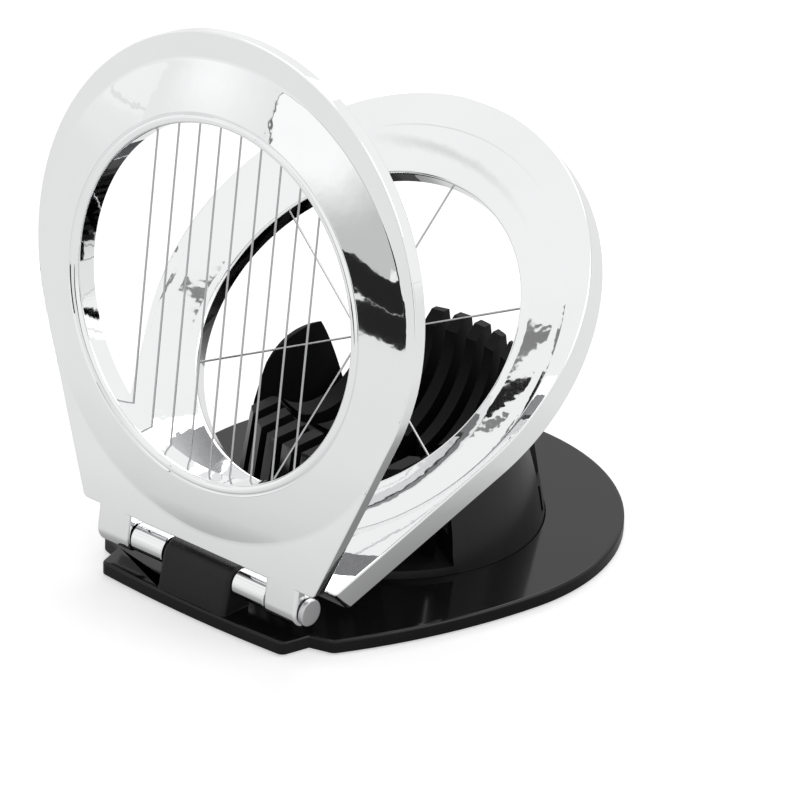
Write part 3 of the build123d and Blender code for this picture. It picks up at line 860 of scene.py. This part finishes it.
class EGGSLICER_OT_fittings(bpy.types.Operator):
    """Give the screws and the pads their finishes"""

    bl_idname = "egg_slicer.fittings"
    bl_label = "Fittings"

    def execute(self, context):
        finishes = context.scene.egg_finish
        wear(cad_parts["cup_screws"], finish("screw_steel", finishes.screw))
        wear(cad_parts["foot_pads"], finish("pad_rubber", finishes.rubber))
        return {"FINISHED"}


def studio_cards(stage):
    """Cards and panels that only reflections see; shades run from a card's middle outwards."""
    dark, grey, pale = ([(0, shade), (1, shade)]
                        for shade in (stage.dark_card, stage.grey_card, stage.pale_card))
    to_rings = (0.78, 0.24, -0.57)
    return [
        # The floor card paints the slicer's contact shadow on the floor: dark at the base's edge, fading
        # to pale grey further out; only reflections see it.
        Card("floor_shadow_card", (0, 0.046, 0.0005), ALONG_Z, ALONG_X, (6, 6), [
            (0.0175, 0.25), (0.0225, 0.7), (0.03, 0.79), (0.042, 0.86), (0.17, 0.87), (0.33, 0.92),
            (1, 1)]),
        Card("front_panel", (-0.6, -1, 0.3), ALONG_Y, ALONG_X, (1, 0.6), [
            (0, stage.panel), (0.5, stage.panel), (1, stage.pale_card)]),
        Card("side_panel", (-0.95, -0.99, 0.3), ALONG_Y, ALONG_X, (0.69, 0.6), [
            (0, stage.panel), (1, 0.93)]),
        Card("panel_edge", (-0.603, -0.985, 0.3), ALONG_Y, ALONG_X, (0.006, 0.6), dark),
        Card("front_card", (-0.07, -0.6, 0.026), ALONG_Y, ALONG_X, (0.26, 0.052), dark),
        Card("mat_card", (-0.03, -0.46, 0.001), ALONG_Z, ALONG_X, (0.16, 0.26), dark),
        Card("first_bar", (-0.735, -0.24, 0.6), to_rings, (-0.16, 0.09, -0.18), (0.25, 0.02), grey),
        Card("second_bar", (-0.74, -0.2, 0.615), to_rings, (-0.16, 0.12, -0.16), (0.25, 0.02), dark),
        Card("third_bar", (-0.74, -0.172, 0.625), to_rings, (-0.16, 0.15, -0.15), (0.25, 0.01), grey),
        Card("roof_bar", (-0.37, -0.355, 0.775), (0.37, 0.45, -0.81), (0.29, -0.06, 0.11),
             (0.25, 0.01), grey),
        Card("roof_shade", (-0.65, -0.6, 0.75), (0.59, 0.55, -0.59), (0.73, -0.68, 0), (0.5, 0.12), [
            (0, 0.8), (1, 1)]),
        Card("back_card", (0, 1.3, 0.12), (0, -1, 0), ALONG_X, (1.2, 0.24), grey),
        Card("right_card", (1.3, 0.3, 0.12), (-1, 0, 0), ALONG_Y, (0.8, 0.24), pale),
        Card("left_card", (-1.3, 0.5, 0.12), ALONG_X, ALONG_Y, (0.6, 0.24), pale),
    ]


class EGGSLICER_OT_stage(bpy.types.Operator):
    """Set up the floor, the light and the camera"""

    bl_idname = "egg_slicer.stage"
    bl_label = "Stage"

    def execute(self, context):
        stage = context.scene.egg_stage
        context.scene.view_settings.view_transform = "Standard"
        self.add_floor(stage)
        self.light_world(context, stage)
        self.add_softbox("key_softbox", stage.key, (-0.5, 0.9, 1.5), 1.2)
        self.add_softbox("fill_softbox", stage.fill, (1.1, 0.5, 1.2), 1.0)
        for card in studio_cards(stage):
            self.add_card(card)
        self.add_camera(context, stage)
        return {"FINISHED"}

    def add_floor(self, stage):
        """Floor that takes shadows and is white where nothing shades it."""
        bpy.ops.object.select_all(action="DESELECT")
        bpy.ops.mesh.primitive_circle_add(vertices=FLOOR_STEPS, radius=stage.floor_size,
                                          fill_type="NGON", location=(0, 0, -stage.floor_drop))
        floor = bpy.context.active_object
        floor.name = "floor"
        material = bpy.data.materials.new("pale_floor")
        material.use_nodes = True
        nodes, link = material.node_tree.nodes, material.node_tree.links.new
        nodes.remove(nodes["Principled BSDF"])
        matt = nodes.new("ShaderNodeBsdfDiffuse")
        matt.inputs["Color"].default_value = (*[stage.floor_shade] * 3, 1)
        glow = nodes.new("ShaderNodeEmission")
        lit = nodes.new("ShaderNodeAddShader")
        level = math_node(nodes, "MULTIPLY")
        level.inputs[1].default_value = stage.floor_glow
        link(seen_by_eye(nodes, link), level.inputs[0])
        link(level.outputs[0], glow.inputs["Strength"])
        link(matt.outputs[0], lit.inputs[0])
        link(glow.outputs[0], lit.inputs[1])
        link(lit.outputs[0], nodes["Material Output"].inputs["Surface"])
        wear(floor, material)

    def light_world(self, context, stage):
        """White surroundings for the eye and the reflections, and dimmer light for matt surfaces."""
        world = bpy.data.worlds.new("studio")
        context.scene.world = world
        world.use_nodes = True
        nodes, link = world.node_tree.nodes, world.node_tree.links.new
        seen = nodes["Background"]
        seen.inputs["Color"].default_value = (1, 1, 1, 1)
        ambient = nodes.new("ShaderNodeBackground")
        ambient.inputs["Strength"].default_value = stage.ambient
        choose = nodes.new("ShaderNodeMixShader")
        link(seen_by_eye(nodes, link), choose.inputs["Fac"])
        link(ambient.outputs[0], choose.inputs[1])
        link(seen.outputs[0], choose.inputs[2])
        link(choose.outputs[0], nodes["World Output"].inputs["Surface"])

    def add_softbox(self, name, watts, place, size):
        """Square light turned towards the part."""
        bpy.ops.object.light_add(type="AREA", location=place)
        lamp = bpy.context.active_object
        lamp.name = name
        lamp.data.energy = watts
        lamp.data.size = size
        lamp.rotation_euler = (Vector(place) - Vector(LIGHT_AIM)).to_track_quat("Z", "Y").to_euler()

    def add_card(self, card):
        """Glowing card that only reflections see."""
        front = Vector(card.facing).normalized()
        upward = front.cross(Vector(card.along)).normalized()
        turn = Matrix((upward.cross(front), upward, front)).transposed().to_euler()
        bpy.ops.mesh.primitive_plane_add(size=2, location=card.place, rotation=turn)
        sheet = bpy.context.active_object
        sheet.name = card.name
        sheet.scale = (card.size[0] / 2, card.size[1] / 2, 1)
        sheet.visible_camera = sheet.visible_diffuse = sheet.visible_shadow = False
        material = bpy.data.materials.new(card.name)
        material.use_nodes = True
        nodes, link = material.node_tree.nodes, material.node_tree.links.new
        nodes.remove(nodes["Principled BSDF"])
        where = nodes.new("ShaderNodeTexCoord")
        out = nodes.new("ShaderNodeVectorMath")
        out.operation = "LENGTH"
        fade = nodes.new("ShaderNodeValToRGB")
        fade.color_ramp.interpolation = "EASE"
        stops = fade.color_ramp.elements
        while len(stops) < len(card.shades):
            stops.new(0.5)
        for stop, (position, shade) in zip(stops, card.shades):
            stop.position = position
            stop.color = (shade, shade, shade, 1)
        paint = nodes.new("ShaderNodeEmission")
        link(where.outputs["Object"], out.inputs[0])
        link(out.outputs["Value"], fade.inputs["Fac"])
        link(fade.outputs["Color"], paint.inputs["Color"])
        link(paint.outputs[0], nodes["Material Output"].inputs["Surface"])
        wear(sheet, material)

    def add_camera(self, context, stage):
        """Camera that stands where the photo was taken from."""
        turn, lift, lean = stage.azimuth, stage.elevation, stage.roll
        right = Vector((cos(turn), sin(turn), 0))
        up = Vector((-sin(turn) * sin(lift), cos(turn) * sin(lift), cos(lift)))
        back = Vector((sin(turn) * cos(lift), -cos(turn) * cos(lift), sin(lift)))
        across, upright = cos(lean) * right + sin(lean) * up, cos(lean) * up - sin(lean) * right
        axes = Matrix((across, upright, back)).transposed().to_4x4()
        bpy.ops.object.camera_add()
        camera = bpy.context.active_object
        camera.name = "photo_camera"
        camera.matrix_world = Matrix.Translation(Vector(stage.target) + stage.distance * back) @ axes
        camera.data.lens = stage.lens
        camera.data.clip_end = CLIP_END
        context.scene.camera = camera


class EGGSLICER_PT_panel(bpy.types.Panel):
    """Pieces of the egg slicer"""

    bl_idname = "EGGSLICER_PT_panel"
    bl_label = "Egg slicer"
    bl_space_type = "VIEW_3D"
    bl_region_type = "UI"
    bl_category = "Egg slicer"

    def draw(self, context):
        for operator in OPERATORS:
            self.layout.operator(operator.bl_idname)


OPERATORS = (
    EGGSLICER_OT_slicing_frame, EGGSLICER_OT_wedge_frame, EGGSLICER_OT_egg_cup,
    EGGSLICER_OT_base_plate, EGGSLICER_OT_hinge_pin, EGGSLICER_OT_wires, EGGSLICER_OT_back_rings,
    EGGSLICER_OT_fittings, EGGSLICER_OT_stage,
)
GROUPS = {
    "egg_rings": EggSlicerRings, "egg_slicing": EggSlicerSlicing, "egg_wedge": EggSlicerWedge,
    "egg_plastic": EggSlicerPlastic, "egg_finish": EggSlicerFinish, "egg_stage": EggSlicerStage,
}


def register():
    for cls in (*GROUPS.values(), *OPERATORS, EGGSLICER_PT_panel):
        bpy.utils.register_class(cls)
    for name, cls in GROUPS.items():
        setattr(bpy.types.Scene, name, PointerProperty(type=cls))


def unregister():
    for name in GROUPS:
        delattr(bpy.types.Scene, name)
    for cls in (EGGSLICER_PT_panel, *reversed(OPERATORS), *reversed(GROUPS.values())):
        bpy.utils.unregister_class(cls)


def main():
    register()
    bpy.ops.egg_slicer.slicing_frame()
    bpy.ops.egg_slicer.wedge_frame()
    bpy.ops.egg_slicer.egg_cup()
    bpy.ops.egg_slicer.base_plate()
    bpy.ops.egg_slicer.hinge_pin()
    bpy.ops.egg_slicer.wires()
    bpy.ops.egg_slicer.back_rings()
    bpy.ops.egg_slicer.fittings()
    bpy.ops.egg_slicer.stage()


if __name__ == "__main__":
    main()
